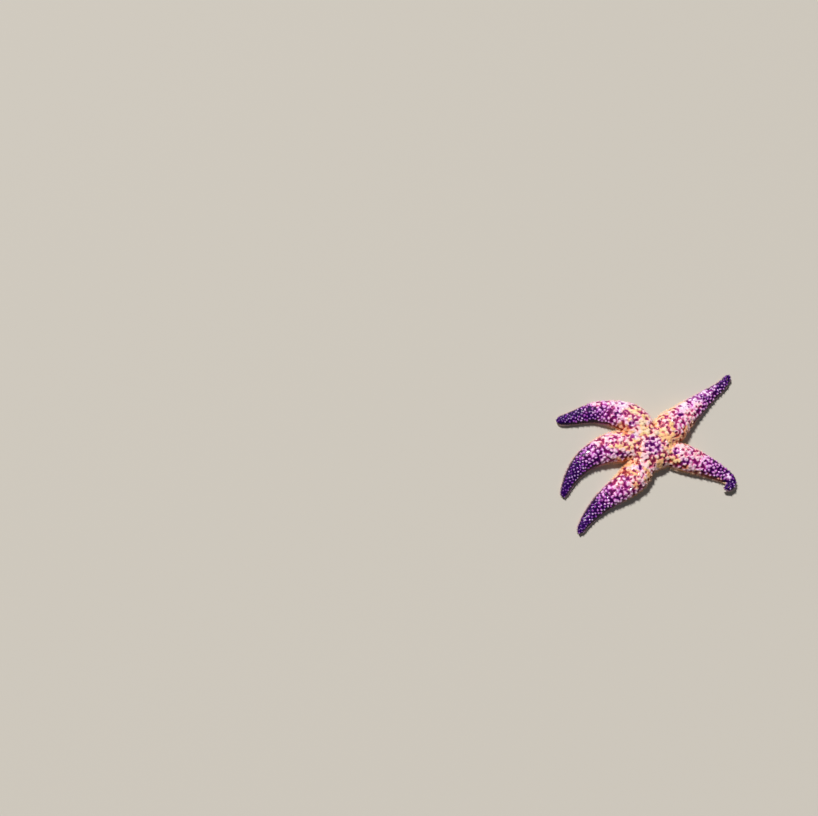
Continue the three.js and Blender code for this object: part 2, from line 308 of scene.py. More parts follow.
# Patches of painted glare: pale lilac where the sun's reflection whitens the wet skin.
PAINTED_GLARE_BLOTCHES = [(1, 0.46, -36, 5.0), (1, 0.58, -40, 5.0), (1, 0.69, -38, 4.5), (1, 0.79, -35, 3.0),
                  (1, 0.60, -22, 4.0), (1, 0.74, -12, 3.2), (2, 0.42, 42, 5.0), (2, 0.50, 34, 3.5),
                  (3, 0.16, 30, 4.0), (5, 0.80, 5, 3.2)]
VIOLET_LEADS = np.array([-0.04, 0.0, 0.06, 0.04, -0.03])  # how much sooner each arm turns violet


def blotches(points, spots, seed):
    """How far each point lies within the nearest of some ragged blotches, from 0 to 1."""
    ragged = 0.35 * wander(points, 2.6, seed)
    within = np.zeros(len(points))
    for arm, out, turn, radius in spots:
        centre = ARMS[arm - 1].surface(np.array([out]), np.array([turn], float))
        apart = np.linalg.norm(points - centre, axis=1) / radius
        within = np.maximum(within, 1 - smooth(apart + ragged, 0.6, 1.15))
    return within


def markings(points):
    """What the colours of the star turn on at each point.

    tone runs from 0, cream with few hollows, to 1, violet with small dots, and is lowered in pale
    patches, some of them painted light; violet, straw and warm are patches of other colours, and
    the glare patches are painted glare where the sun's reflection whitens the wet skin; spark is
    low on the dots that are duller than the rest; low grows down the sides, where the colours take
    painted shade; near is 1 by the disc, edge is 1 on the rim that the fringe stands on, and under
    is 1 on the sole.
    """
    arm_of, out, turn = locate(points)
    lead = VIOLET_LEADS[arm_of] * smooth(out, 0.3, 0.5)
    tone = np.clip(out + lead + 0.13 * wander(points, 9.0, 1), 0, 1)
    violet = blotches(points, VIOLET_BLOTCHES, 2)
    straw = blotches(points, STRAW_BLOTCHES, 3)
    frost = blotches(points, PAINTED_GLARE_BLOTCHES, 6)
    # Pale patches, partly painted light, and the painted glare lower the tone, so the cushions there
    # grow wider and paler.
    pale_and_lit = np.maximum.reduce([straw, 0.8 * frost, blotches(points, PALE_AND_LIT_BLOTCHES, 5)])
    tone += violet * np.maximum(0.40 - tone, 0)
    tone -= pale_and_lit * (1 - violet) * tone * 0.43
    side = np.abs(turn)
    flank = smooth(side, 56, 94) * (1 - smooth(out, 0.40, 0.66))
    spark = np.maximum(1 - smooth(tone, 0.5, 0.72), smooth(wander(points, 2.6, 21), -0.1, 0.22))
    warm = np.maximum(flank, blotches(points, ORANGE_BLOTCHES, 4))
    return {"arm": arm_of, "out": out, "turn": turn, "tone": tone, "violet": violet,
            "straw": straw, "frost": frost, "warm": warm, "spark": spark,
            "low": smooth(side, 42, 84), "near": 1 - smooth(out, 0.3, 0.48),
            "edge": smooth(side, 90, 99), "under": smooth(side, 98, 110)}


points, normals = read(whole), read(whole, "normal")
sole = normals[:, 2] < -0.6
points[sole, 2] += groove_depth(points[sole])
marks = markings(points)
inner = (groove_depth(points) > 0) & (points[:, 2] < np.where(marks["out"] < 0.3, 8.0, 0.0))
marks["under"] = np.maximum(marks["under"], np.where(inner, 1.0, smooth(-normals[:, 2], 0.3, 0.7)))
side = np.abs(marks["turn"])
last_turn = np.interp(marks["tone"], (0.36, 0.48, 0.72, 0.9), (92, 68, 56, 46))
back = (side < last_turn) & (points[:, 2] > 1.8) & (normals[:, 2] > -0.2)


def tree_of(points):
    """A search tree that finds which of the points lie near a place."""
    tree = KDTree(len(points))
    for i, point in enumerate(points):
        tree.insert(point, i)
    tree.balance()
    return tree


def spread_out(candidates, spacing, order):
    """Picks points no nearer to each other than their spacing, in the order given."""
    tree = tree_of(candidates)
    free = np.ones(len(candidates), bool)
    picked = []
    for k in order:
        if free[k]:
            picked.append(k)
            for _, near, _ in tree.find_range(candidates[k], spacing[k]):
                free[near] = False
    return np.array(picked)


# Cushions of the back: wide ones that run together near the disc, parted here and there by a
# ragged pit, and small ones that stand apart towards the tips, in staggered rows.
CUSHION_TONES = (0.10, 0.32, 0.50, 0.66, 0.95)
CUSHION_SPACING = (3.3, 3.3, 3.2, 2.5, 2.1)
CUSHION_REACH = (3.3, 3.2, 2.8, 1.65, 1.05)
CUSHION_HEIGHT, KNOB_HEIGHT = 0.6, 0.4    # of the net of cushions, and of each knob over it
ROW_PITCH = 4.1                    # from cushion to cushion along a row
PIT = dict(spacing=3.7, width=1.15, longest=2.3, last_tone=0.5)
BEND = 1.3                         # how far the outlines of cushions and pits stray from round

stray = BEND * np.interp(marks["tone"], (0.45, 0.9), (1.0, 0.45))
bent = points + stray[:, None] * np.column_stack([wander(points, 2.0, seed) for seed in (7, 8, 9)])
rows = np.flatnonzero(back)
tone = marks["tone"][rows]
spacing = np.interp(tone, CUSHION_TONES, CUSHION_SPACING) * chance.uniform(0.84, 1.22, len(rows))
along, around = np.zeros(len(rows)), np.zeros(len(rows))
for k, arm in enumerate(ARMS):
    own = marks["arm"][rows] == k
    along[own] = marks["out"][rows[own]] * arm.length
    around[own] = np.radians(marks["turn"][rows[own]]) * arm.half_width(marks["out"][rows[own]])
along += 1.1 * wander(points[rows], 6.0, 13)
in_rows = np.cos(2 * np.pi * along / ROW_PITCH) * np.cos(2 * np.pi * around / ROW_PITCH)
order = np.argsort(chance.random(len(rows)) - 0.9 * smooth(tone, 0.4, 0.62) * in_rows)
cushions = rows[spread_out(bent[rows], spacing, order)]
cushion_spots, cushion_tone = points[cushions], marks["tone"][cushions]
cushion_reach = np.interp(cushion_tone, CUSHION_TONES, CUSHION_REACH)
cushion_reach *= chance.uniform(0.85, 1.15, len(cushions)) * (1 - 0.1 * marks["violet"][cushions])

near_disc = rows[(tone < PIT["last_tone"]) & (marks["straw"][rows] < 0.5)]
spacing = PIT["spacing"] * np.interp(wander(points[near_disc], 5.0, 31), (-0.35, 0.35), (0.75, 1.9))
pits = near_disc[spread_out(bent[near_disc], spacing, np.argsort(chance.random(len(near_disc))))]


# Edge plates: two rows of beads along each side of an arm, which carry the fringe.
def along_arm(k, turns, pitch, first, last):
    """Places in staggered rows along arm k, one row for each turn round it, at a pitch in mm."""
    arm = ARMS[k]
    spots = []
    for row, turn in enumerate(turns):
        u = np.arange(first + row % 2 * pitch / 2 / arm.length, last, pitch / arm.length)
        spots.append(arm.surface(u, np.full(len(u), float(turn))))
    return np.concatenate(spots)


skin_tree = tree_of(points)


def reached(targets, within):
    """Drops the targets that the skin doesn't come near, as inside a neighbouring arm."""
    return targets[[skin_tree.find(target)[2] < within for target in targets]]


edge_spots = [along_arm(k, (-106, 106), 2.1, 0.17, 0.96) for k in range(5)]
edge_spots += [along_arm(k, (-94, 94), 2.1, 0.17, 0.62) for k in range(5)]
turns = np.radians(np.arange(0, 360, 5.5))
rim = np.column_stack([np.cos(turns), np.sin(turns)]) * (DOME["radius"] - DEPTH) + DISC
disc_rim = np.concatenate([np.column_stack([rim, np.full(len(rim), level)]) for level in (2.0, 4.0)])
edge_spots = reached(np.concatenate([*edge_spots, disc_rim]), 1.0)

bent_tree = tree_of(bent)
knob, peak = np.zeros(len(points)), np.zeros(len(points))
all_spots = np.concatenate([cushion_spots, edge_spots])
all_reach = np.concatenate([cushion_reach, np.full(len(edge_spots), 1.35)])
for spot, reach in zip(all_spots, all_reach):
    middle = bent[skin_tree.find(spot)[1]]
    for _, i, apart in bent_tree.find_range(middle, reach):
        knob[i] += (1 - (apart / reach) ** 2) ** 2
        peak[i] = max(peak[i], 1 - (apart / reach / 0.72) ** 2)
for spot, lie in zip(points[pits], unit(chance.normal(size=(len(pits), 3)))):
    half_length = chance.uniform(PIT["width"], PIT["longest"])
    half_width = PIT["width"] * chance.uniform(0.75, 1.1)
    middle = bent[skin_tree.find(spot)[1]]
    near = [i for _, i, _ in bent_tree.find_range(middle, half_length * 1.5)]
    apart = bent[near] - middle
    lengthwise = apart @ lie
    crossing = np.sqrt(np.maximum((apart ** 2).sum(1) - lengthwise ** 2, 0))
    share = np.hypot(lengthwise / half_length, crossing / half_width)
    knob[near] -= chance.uniform(0.7, 1.7) * (1 - smooth(share, 0.5, 1.3))
knob = np.clip(knob, 0, 1)
peak *= smooth(knob, 0.1, 0.5)
height = CUSHION_HEIGHT * smooth(knob, 0.0, 0.6) + KNOB_HEIGHT * smooth(peak, 0.0, 1.0)
points += normals * (height * np.interp(marks["tone"], (0.3, 0.95), (1.0, 0.5)))[:, None]
write(whole, points)
normals = read(whole, "normal")


def keep(mesh, name, values):
    """Stores one number for each point of a mesh, for its material to read."""
    mesh.attributes.new(name, "FLOAT", "POINT").data.foreach_set("value", np.asarray(values, np.float32))


keep(whole, "knob", knob)
keep(whole, "peak", peak)
FACTS = ("tone", "violet", "straw", "frost", "warm", "spark", "low", "near", "edge", "under")
for name in FACTS:
    keep(whole, name, marks[name])
for face in whole.polygons:
    face.use_smooth = True


class Shade:
    """One output of a node in a material; arithmetic on it adds Math nodes."""

    def __init__(self, tree, socket=None):
        self.tree, self.socket = tree, socket

    def node(self, kind, settings, inputs, output=0):
        made = self.tree.nodes.new("ShaderNode" + kind)
        for name, value in settings.items():
            if name == "stops":
                ramp = made.color_ramp
                while len(ramp.elements) < len(value):
                    ramp.elements.new(0.5)
                for element, (position, colour) in zip(ramp.elements, value):
                    element.position, element.color = position, colour
            else:
                setattr(made, name, value)
        for name, value in inputs.items():
            if isinstance(value, Shade):
                self.tree.links.new(value.socket, made.inputs[name])
            else:
                made.inputs[name].default_value = value
        return Shade(self.tree, made.outputs[output])

    def maths(self, operation, *values):
        return self.node("Math", {"operation": operation}, dict(enumerate(values)))

    def __add__(self, other):
        return self.maths("ADD", self, other)

    def __sub__(self, other):
        return self.maths("SUBTRACT", self, other)

    def __rsub__(self, other):
        return self.maths("SUBTRACT", other, self)

    def __mul__(self, other):
        return self.maths("MULTIPLY", self, other)

    __radd__, __rmul__ = __add__, __mul__

    def between(self, start, end):
        """0 below start, 1 above end, smooth between."""
        return self.node("MapRange", {"interpolation_type": "SMOOTHSTEP"}, {0: self, 1: start, 2: end})

    def mixed(self, first, second):
        """The first colour where this is 0, and the second where it is 1."""
        return self.node("Mix", {"data_type": "RGBA"}, {0: self, 6: first, 7: second}, 2)

    def read(self, name):
        return self.node("Attribute", {"attribute_name": name}, {}, "Fac")

    def grain(self, per_metre, detail=2.0):
        spot = self.node("TexCoord", {}, {}, "Object")
        return self.node("TexNoise", {}, {"Vector": spot, "Scale": per_metre, "Detail": detail})

    def feeds(self, surface, socket):
        self.tree.links.new(self.socket, surface.inputs[socket])


def material(name, **constants):
    """A new material: its tree to build on, and its surface shader."""
    made = bpy.data.materials.new(name)
    made.use_nodes = True
    surface = made.node_tree.nodes["Principled BSDF"]
    for socket, value in constants.items():
        surface.inputs[socket.replace("_", " ")].default_value = value
    return made, Shade(made.node_tree), surface


def paint(red, green, blue):
    """A colour as seen on a screen, from 0 to 255, as the linear light that a shader wants."""
    return (*((channel / 255) ** 2.2 for channel in (red, green, blue)), 1)


# The thin skin in the hollows, the slopes of the cushions, the cushions and the crests of their
# knobs, each from tone 0 to tone 1. The crests' paleness is partly the knobs' own colour and
# partly a painted highlight on their tops.
HOLLOW = [(0.00, paint(118, 28, 62)), (0.25, paint(146, 36, 92)), (0.42, paint(122, 16, 98)),
          (0.57, paint(60, 0, 66)), (0.72, paint(42, 0, 68)), (1.00, paint(42, 2, 80))]
SLOPE = [(0.00, paint(236, 138, 124)), (0.22, paint(228, 112, 146)), (0.40, paint(206, 88, 158)),
         (0.55, paint(152, 38, 150)), (0.72, paint(90, 16, 122)), (1.00, paint(84, 28, 124))]
CUSHION = [(0.00, paint(255, 214, 208)), (0.22, paint(254, 198, 214)), (0.38, paint(250, 180, 214)),
           (0.52, paint(224, 124, 212)), (0.68, paint(190, 92, 206)), (0.84, paint(152, 76, 190)),
           (1.00, paint(124, 66, 164))]
CREST_AND_HIGHLIGHT = [(0.00, paint(255, 242, 230)), (0.22, paint(255, 238, 234)), (0.40, paint(255, 224, 246)),
         (0.55, paint(255, 210, 255)), (0.72, paint(252, 220, 255)), (0.90, paint(234, 200, 255)),
         (1.00, paint(166, 112, 196))]
ORANGE, PEACH, BURNT = paint(246, 160, 98), paint(254, 206, 158), paint(222, 120, 74)
# The dark umber is painted shade for the lower sides of the arms, which turn away from the light.
RUST, PAINTED_SIDE_SHADE = paint(148, 48, 34), paint(44, 5, 20)
APRICOT, STRAW = paint(255, 200, 142), paint(255, 228, 168)
# Painted glare: pale lilac on the cushions and mauve on the slopes.
PAINTED_GLARE, PAINTED_GLARE_SLOPE = paint(240, 226, 250), paint(190, 132, 200)
LILAC, MAUVE, PURPLE = paint(232, 174, 232), paint(150, 62, 160), paint(62, 2, 84)
# The pale rims are partly the edge plates' own cream and partly painted highlight.
RIM_AND_HIGHLIGHT, TIP_RIM_AND_HIGHLIGHT, SOLE_CREAM = paint(252, 216, 178), paint(220, 176, 182), paint(240, 206, 158)


def cushion_colour(shade):
    """Cream and apricot near the disc, then rose, then violet at the tips; orange low on the sides."""
    tone, fleck, patch = shade.read("tone"), shade.grain(420, 3.0) - 0.5, shade.grain(130, 1.0) - 0.5
    spread = tone + fleck * 0.2 + patch * 0.3
    colour = shade.node("ValToRGB", {"stops": CUSHION}, {0: spread})
    colour = (shade.read("violet") * 0.35).mixed(colour, LILAC)
    # The knobs' crests turn paler: partly their own colour, partly a painted highlight on each top.
    crest_and_highlight = (shade.read("peak") + fleck * 0.8).between(0.2, 0.95) * shade.read("spark")
    crest_and_highlight = crest_and_highlight * (tone.between(0.15, 0.5) * 0.45 + 0.45)
    colour = crest_and_highlight.mixed(colour, shade.node("ValToRGB", {"stops": CREST_AND_HIGHLIGHT}, {0: tone}))
    apricot = 0.25 - patch * 3.4 - fleck * 0.7 - tone * 0.7 - shade.read("peak") * 0.1
    apricot = apricot.between(0.0, 0.4)
    apricot = apricot * (1 - shade.read("violet")) * shade.read("near")
    colour = apricot.mixed(colour, APRICOT)
    orange = (patch * 2 + shade.read("peak") * 0.5).between(-0.3, 0.7).mixed(ORANGE, PEACH)
    colour = ((shade.read("warm") * 0.8 + fleck * 0.5).between(0.2, 0.85) * 0.85).mixed(colour, orange)
    colour = (shade.read("straw") * 0.6).mixed(colour, STRAW)
    # Painted glare: the sun's reflection on the wet skin, painted pale lilac.
    colour = (shade.read("frost") * 0.7).mixed(colour, PAINTED_GLARE)
    # Painted shade darkens the cushions low on the sides.
    shadowed = shade.read("low") * (1 - shade.read("warm")) * tone.between(0.2, 0.42) * 0.28
    colour = shadowed.mixed(colour, PAINTED_SIDE_SHADE)
    # The pale rim along each edge is partly the edge plates' own cream and partly a painted highlight,
    # as where the fringe catches the light.
    rim = tone.between(0.4, 0.75).mixed(RIM_AND_HIGHLIGHT, TIP_RIM_AND_HIGHLIGHT)
    colour = (shade.read("edge") * (1 - shade.read("warm") * 0.3)).mixed(colour, rim)
    return shade.read("under").mixed(colour, SOLE_CREAM)


def slope_colour(shade):
    """Rosy orange near the disc, then magenta, then violet at the tips."""
    tone, patch = shade.read("tone"), shade.grain(240, 1.0) - 0.5
    colour = shade.node("ValToRGB", {"stops": SLOPE}, {0: tone + patch * 0.5})
    colour = (shade.read("violet") * 0.6).mixed(colour, MAUVE)
    colour = (shade.read("warm") * 0.8).mixed(colour, BURNT)
    # Painted glare on the slopes.
    colour = (shade.read("frost") * 0.8).mixed(colour, PAINTED_GLARE_SLOPE)
    # Painted shade darkens the slopes low on the sides.
    colour = (shade.read("low") * (1 - shade.read("warm")) * 0.6).mixed(colour, PAINTED_SIDE_SHADE)
    return shade.read("under").mixed(colour, SOLE_CREAM)


def hollow_colour(shade):
    """Maroon near the disc, then magenta, then dark violet; rust low on the sides."""
    fleck = shade.grain(520) - 0.5
    colour = shade.node("ValToRGB", {"stops": HOLLOW}, {0: shade.read("tone") + fleck * 0.2})
    colour = (shade.read("violet") * 0.85).mixed(colour, PURPLE)
    # Painted shade darkens the hollows low on the sides.
    colour = (shade.read("low") * 0.8).mixed(colour, PAINTED_SIDE_SHADE)
    colour = (shade.read("warm") * 0.75).mixed(colour, RUST)
    # Painted glare in the hollows, turned towards mauve.
    colour = (shade.read("frost") * 0.5).mixed(colour, MAUVE)
    return shade.read("under").mixed(colour, SOLE_CREAM)


skin_stuff, shade, surface = material("wet_skin", Roughness=0.35, Specular_IOR_Level=0.06,
                                      Coat_Weight=0.25, Coat_Roughness=0.08)
raised = shade.read("knob") + (shade.grain(1100) - 0.5) * 0.4
sloping = raised.between(0.05, 0.36).mixed(hollow_colour(shade), slope_colour(shade))
raised.between(0.34, 0.64).mixed(sloping, cushion_colour(shade)).feeds(surface, "Base Color")
pebbling = {"Height": shade.grain(2600), "Strength": 0.35, "Distance": 0.0004}
shade.node("Bump", {}, pebbling, "Normal").feeds(surface, "Normal")
whole.materials.append(skin_stuff)
flesh = ["disc"] + [f"arm_{k}_{length}" for k in range(1, 6) for length in ("base", "middle", "tip")]
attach(skin, "root")
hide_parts(*flesh)

# ------------------------------------------------------------------------------- spines of the back
# Each cushion carries one or two short, blunt spines of lime with swollen, roughened heads.
# The spines are hard, but a thin skin covers them, so they are coloured like the cushion below.
TOP = cad_box[1][2] / MM - 0.05    # no spine reaches above the highest stud of the solids
LOWEST_ROOT = 0.4                  # and none is rooted so low that its foot would meet the ground
surface_tree = BVHTree.FromPolygons([Vector(point) for point in points],
                                    [tuple(face.vertices) for face in whole.polygons])


def settle(targets):
    """The spots of the skin nearest to the targets, and the way out of the skin at each."""
    found = [surface_tree.find_nearest(Vector(target)) for target in targets]
    spots = np.array([spot[0][:] for spot in found])
    spots[:, 2] = np.maximum(spots[:, 2], LOWEST_ROOT)
    return spots, np.array([spot[1][:] for spot in found])


def crosswise(ways):
    """Two directions square to each way and to each other."""
    side = unit(np.cross(ways, [0.31, 0.87, 0.38]))
    return side, np.cross(ways, side)


def stalk(outline, sides):
    """A turned template standing on z = 0, from (radius, height) pairs; its last ring is closed."""
    made = bmesh.new()
    ring = bmesh.ops.create_circle(made, cap_ends=True, segments=sides, radius=outline[0][0])
    bmesh.ops.translate(made, verts=ring["verts"], vec=(0, 0, outline[0][1]))
    top = made.faces[:]
    for (radius, up), (wide, level) in zip(outline, outline[1:]):
        grown = bmesh.ops.extrude_face_region(made, geom=top)["geom"]
        if up > outline[0][1]:
            bmesh.ops.delete(made, geom=top, context="FACES_ONLY")
        verts = [item for item in grown if isinstance(item, bmesh.types.BMVert)]
        top = [item for item in grown if isinstance(item, bmesh.types.BMFace)]
        bmesh.ops.scale(made, verts=verts, vec=(wide / radius, wide / radius, 1))
        bmesh.ops.translate(made, verts=verts, vec=(0, 0, level - up))
    bmesh.ops.triangulate(made, faces=made.faces)
    bmesh.ops.recalc_face_normals(made, faces=made.faces)
    corners = np.array([vert.co[:] for vert in made.verts])
    faces = np.array([[vert.index for vert in face.verts] for face in made.faces])
    made.free()
    return corners, faces


def piece_of(name, mesh, stuff):
    """A new object of the mesh, smooth all over and made of the stuff given."""
    for face in mesh.polygons:
        face.use_smooth = True
    mesh.materials.append(stuff)
    made = bpy.data.objects.new(name, mesh)
    bpy.context.collection.objects.link(made)
    return made


PATCH_SIZE = 0.0015                # of each copy's own patch in the OFBake map


def planted(name, template, roots, ways, sizes, stuff):
    """One mesh of many copies of a template, each standing at its root along its way.

    sizes holds each copy's width and its length, as shares of the template's.
    """
    corners, faces = template
    ways = unit(ways)
    side, other = crosswise(ways)
    spin = chance.uniform(0, 2 * np.pi, len(roots))[:, None]
    axes = np.stack([side * np.cos(spin) + other * np.sin(spin),
                     other * np.cos(spin) - side * np.sin(spin), ways], 1)
    wide, long = (np.broadcast_to(size, len(roots)) for size in sizes)
    grown = corners[None] * np.column_stack([wide, wide, long])[:, None]
    copies = np.einsum("nvk,nkx->nvx", grown, axes) + roots[:, None]
    all_faces = (faces[None] + np.arange(len(roots))[:, None, None] * len(corners)).reshape(-1, 3)
    mesh = bpy.data.meshes.new(name)
    mesh.from_pydata((copies.reshape(-1, 3) * MM).tolist(), [], all_faces.tolist())
    facts = markings(roots)
    facts["under"] = facts["under"] * (ways[:, 2] < 0.3)
    strip = np.column_stack([0.03 + 0.94 * facts["out"],
                             (facts["arm"] + 0.5 + 0.46 * facts["turn"] / 180) / 5])
    patch = corners[:, :2] / np.abs(corners[:, :2]).max() * PATCH_SIZE
    laid = (strip[:, None] + patch[None]).reshape(-1, 2)[all_faces.ravel()]
    mesh.uv_layers.new(name="OFBake").data.foreach_set("uv", laid.astype(np.float32).ravel())
    keep(mesh, "rise", np.tile(corners[:, 2] / corners[:, 2].max(), len(roots)))
    keep(mesh, "peak", np.ones(len(copies) * len(corners)))
    for fact in FACTS:
        keep(mesh, fact, np.repeat(facts[fact], len(corners)))
    made = piece_of(name, mesh, stuff)
    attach(made, "root")


spine_stuff, shade, surface = material("skin_over_spines", Roughness=0.3, Specular_IOR_Level=0.2,
                                        Coat_Weight=0.3, Coat_Roughness=0.1)
# The spines turn paler towards their tips.
second_tint = shade.read("rise").between(0.5, 1.0) * shade.read("spark") * 0.3
second_tint.mixed(cushion_colour(shade), paint(250, 234, 250)).feeds(surface, "Base Color")

SPINE_LENGTH, HEADROOM = 1.2, 0.02
how_many = np.where(cushion_tone < 0.32, 2, 1)
side, other = crosswise(normals[cushions])
targets = []
for lap in range(2):
    turns = 2 * np.pi * (lap / how_many + chance.random())
    aside = np.where(how_many > 1, 0.27, 0.0) * cushion_reach * chance.uniform(0.8, 1.2, len(cushions))
    outward = side * np.cos(turns)[:, None] + other * np.sin(turns)[:, None]
    spot = points[cushions] + outward * aside[:, None]
    targets.append(spot[how_many > lap])
targets = np.concatenate(targets)
targets = targets[knob[[skin_tree.find(target)[1] for target in targets]] > 0.4]
roots, ways = settle(targets)
back_tone = markings(roots)["tone"]
wide = np.interp(back_tone, (0.2, 0.6, 0.95), (0.9, 0.95, 0.72)) * chance.uniform(0.88, 1.12, len(roots))
long = np.interp(back_tone, (0.2, 0.6, 0.95), (0.75, 0.9, 0.65)) * chance.uniform(0.8, 1.15, len(roots))
blunt_spine = stalk([(0.36, -0.25), (0.30, 0.35), (0.31, 0.72), (0.40, 0.92), (0.33, 1.12),
                     (0.13, SPINE_LENGTH)], 6)
long *= np.interp(np.abs(markings(roots)["turn"]), (45, 80), (0.9, 0.7))
room_above = (TOP - roots[:, 2]) / np.maximum(ways[:, 2], 0.2)
long = np.minimum(long, room_above / (SPINE_LENGTH + HEADROOM))
leaning = ways + 0.12 * chance.normal(size=roots.shape)
planted("spines_of_the_back", blunt_spine, roots, leaning, (wide, long), spine_stuff)
spine_roots, spine_ways, spine_tone = roots, ways, back_tone

# ------------------------------------------------------------------------------- pincers
# A wreath of tiny pincers, fleshy beads to the eye, stands round the foot of each spine and
# keeps the back clean. They are a little paler than the skin they sit on.
pincer_stuff, shade, surface = material("pincer_flesh", Roughness=0.35, Specular_IOR_Level=0.2)
bleached = shade.read("rise") * shade.read("spark") * 0.15
bleached.mixed(cushion_colour(shade), paint(255, 235, 240)).feeds(surface, "Base Color")

side, other = crosswise(spine_ways)
beads = np.where(spine_tone < 0.35, 3, np.where(spine_tone < 0.6, 4, 5))
first = chance.uniform(0, 2 * np.pi, len(spine_roots))
wreath = []
for lap in range(5):
    turns = first + 2 * np.pi * lap / beads
    ring = np.interp(spine_tone, (0.2, 0.95), (0.72, 0.5)) * chance.uniform(0.85, 1.2, len(first))
    outward = side * np.cos(turns)[:, None] + other * np.sin(turns)[:, None]
    spot = spine_roots + outward * ring[:, None]
    wreath.append(spot[beads > lap])
roots, ways = settle(np.concatenate(wreath))
bead = stalk([(0.15, -0.12), (0.21, 0.14), (0.15, 0.32), (0.05, 0.38)], 4)
sizes = np.interp(markings(roots)["tone"], (0.2, 0.95), (1.0, 0.7))
sizes *= chance.uniform(0.8, 1.2, len(roots))
planted("pincers", bead, roots, ways, (sizes, sizes), pincer_stuff)

# ------------------------------------------------------------------------------- gills
# Soft finger-shaped gills stand out through the thin skin in the hollows of the back, a few
# in each one. They are as dark as the hollow, with paler, blind ends.
gill_stuff, shade, surface = material("gill_skin", Roughness=0.35, Specular_IOR_Level=0.1)
tinted = shade.read("rise").between(0.35, 1.0) * 0.5
tinted.mixed(hollow_colour(shade), slope_colour(shade)).feeds(surface, "Base Color")

rows = np.flatnonzero(back & (knob < 0.16))
gills = rows[spread_out(points[rows], np.full(len(rows), 1.25), np.argsort(chance.random(len(rows))))]
ways = normals[gills] + 0.25 * chance.normal(size=(len(gills), 3))
gill = stalk([(0.26, -0.15), (0.25, 0.16), (0.20, 0.36), (0.07, 0.46)], 5)
sizes = np.interp(marks["tone"][gills], (0.2, 0.95), (1.0, 0.6)) * chance.uniform(0.7, 1.15, len(gills))
planted("gills", gill, points[gills], ways, (sizes, sizes), gill_stuff)

# ------------------------------------------------------------------------------- fringe
# Flattened, longer spines stand in rows along the edge plates of each arm and make its fringe.
# The upper row points out over the lower one, whose tips rest on the ground.
fringe_stuff, shade, surface = material("skin_over_fringe", Roughness=0.3, Specular_IOR_Level=0.25)
# The tips turn paler: partly their own lime, partly a painted highlight where they catch the light.
pale_and_lit_tips = shade.read("rise").between(0.5, 1.0) * (0.8 - shade.read("tone") * 0.25)
pale_and_lit_tips.mixed(cushion_colour(shade), paint(255, 226, 216)).feeds(surface, "Base Color")

FRINGE_GAP, SOLE_GAP = 0.3, 0.2    # from the middle of a tip to the ground, so its rim comes close


def pointed(roots, ways, dip, length, gap):
    """Turns each way down by dip, but no further than leaves its spine's tip a gap to the ground."""
    flat = unit(ways * [1, 1, 0])
    lowest = -np.clip((roots[:, 2] - gap) / length, 0, 0.95)
    down = np.maximum(-dip, lowest)
    return flat * np.sqrt(1 - down ** 2)[:, None] + np.array([0, 0, 1]) * down[:, None]


FRINGE_LENGTH = 2.3
fringe = stalk([(0.30, -0.3), (0.27, 0.9), (0.33, 1.5), (0.31, 2.0), (0.16, FRINGE_LENGTH)], 6)
for row, (turn, dip) in enumerate([(95, 0.12), (106, 0.62)]):
    spots = np.concatenate([along_arm(k, (-turn, turn), 1.25, 0.16, 0.985) for k in range(5)])
    spots = np.concatenate([spots, np.column_stack([rim, np.full(len(rim), (3.6, 1.8)[row])])])
    roots, ways = settle(reached(spots, 1.2))
    share = np.interp(markings(roots)["out"], (0.2, 1.0), (1.0, 0.45))
    share *= chance.uniform(0.85, 1.1, len(roots))
    strayed = ways + 0.15 * chance.normal(size=ways.shape)
    ways = pointed(roots, strayed, dip, FRINGE_LENGTH * share, FRINGE_GAP)
    sizes = 0.7 + 0.3 * share, share * (0.8, 1.0)[row]
    planted(f"fringe_{row + 1}", fringe, roots, ways, sizes, fringe_stuff)

# ------------------------------------------------------------------------------- spines of the sole
# Two rows of slender spines border each groove, the inner one leaning in over the tube feet.
# Two sparser rows stand between them and the fringe, and the star rests on the tips of all four.
# Each row has its number, its place from the groove's edge (0) to the sole's edge (1), its pitch
# and which way it leans: -1 in over the groove, 1 away from it.
SOLE_ROWS = [(1, 0.06, 1.35, -1), (2, 0.22, 1.35, 1), (3, 0.48, 2.1, 1), (4, 0.78, 2.1, 1)]
SOLE_SPINE_LENGTH = 1.75
sole_spine = stalk([(0.24, -0.3), (0.22, 0.8), (0.21, 1.4), (0.12, SOLE_SPINE_LENGTH)], 5)
for row, across_sole, pitch, lean in SOLE_ROWS:
    roots, ways = [], []
    for k, arm in enumerate(ARMS):
        u = np.arange(0.11 + row % 2 * 0.5 * pitch / arm.length, 0.97, pitch / arm.length)
        groove = groove_size(u)[0] / 2
        for hand in (-1, 1):
            across = hand * arm.right(u)
            aside = groove + 0.5 + (arm.half_width(u) * SOLE - groove - 0.5) * across_sole
            flat = arm.place(u) + across * aside[:, None]
            spots, _ = settle(np.column_stack([flat, arm.raised(u) + SOLE_UP]))
            own = locate(spots)[0] == k
            roots.append(spots[own])
            ways.append(np.column_stack([across * lean, np.zeros(len(u))])[own])
    roots, ways = np.concatenate(roots), np.concatenate(ways)
    length = SOLE_SPINE_LENGTH * chance.uniform(0.85, 1.1, len(roots))
    ways = pointed(roots, ways + 0.2 * chance.normal(size=ways.shape), 0.8, length, SOLE_GAP)
    sizes = 1.0, length / SOLE_SPINE_LENGTH
    planted(f"sole_spines_{row}", sole_spine, roots, ways, sizes, fringe_stuff)

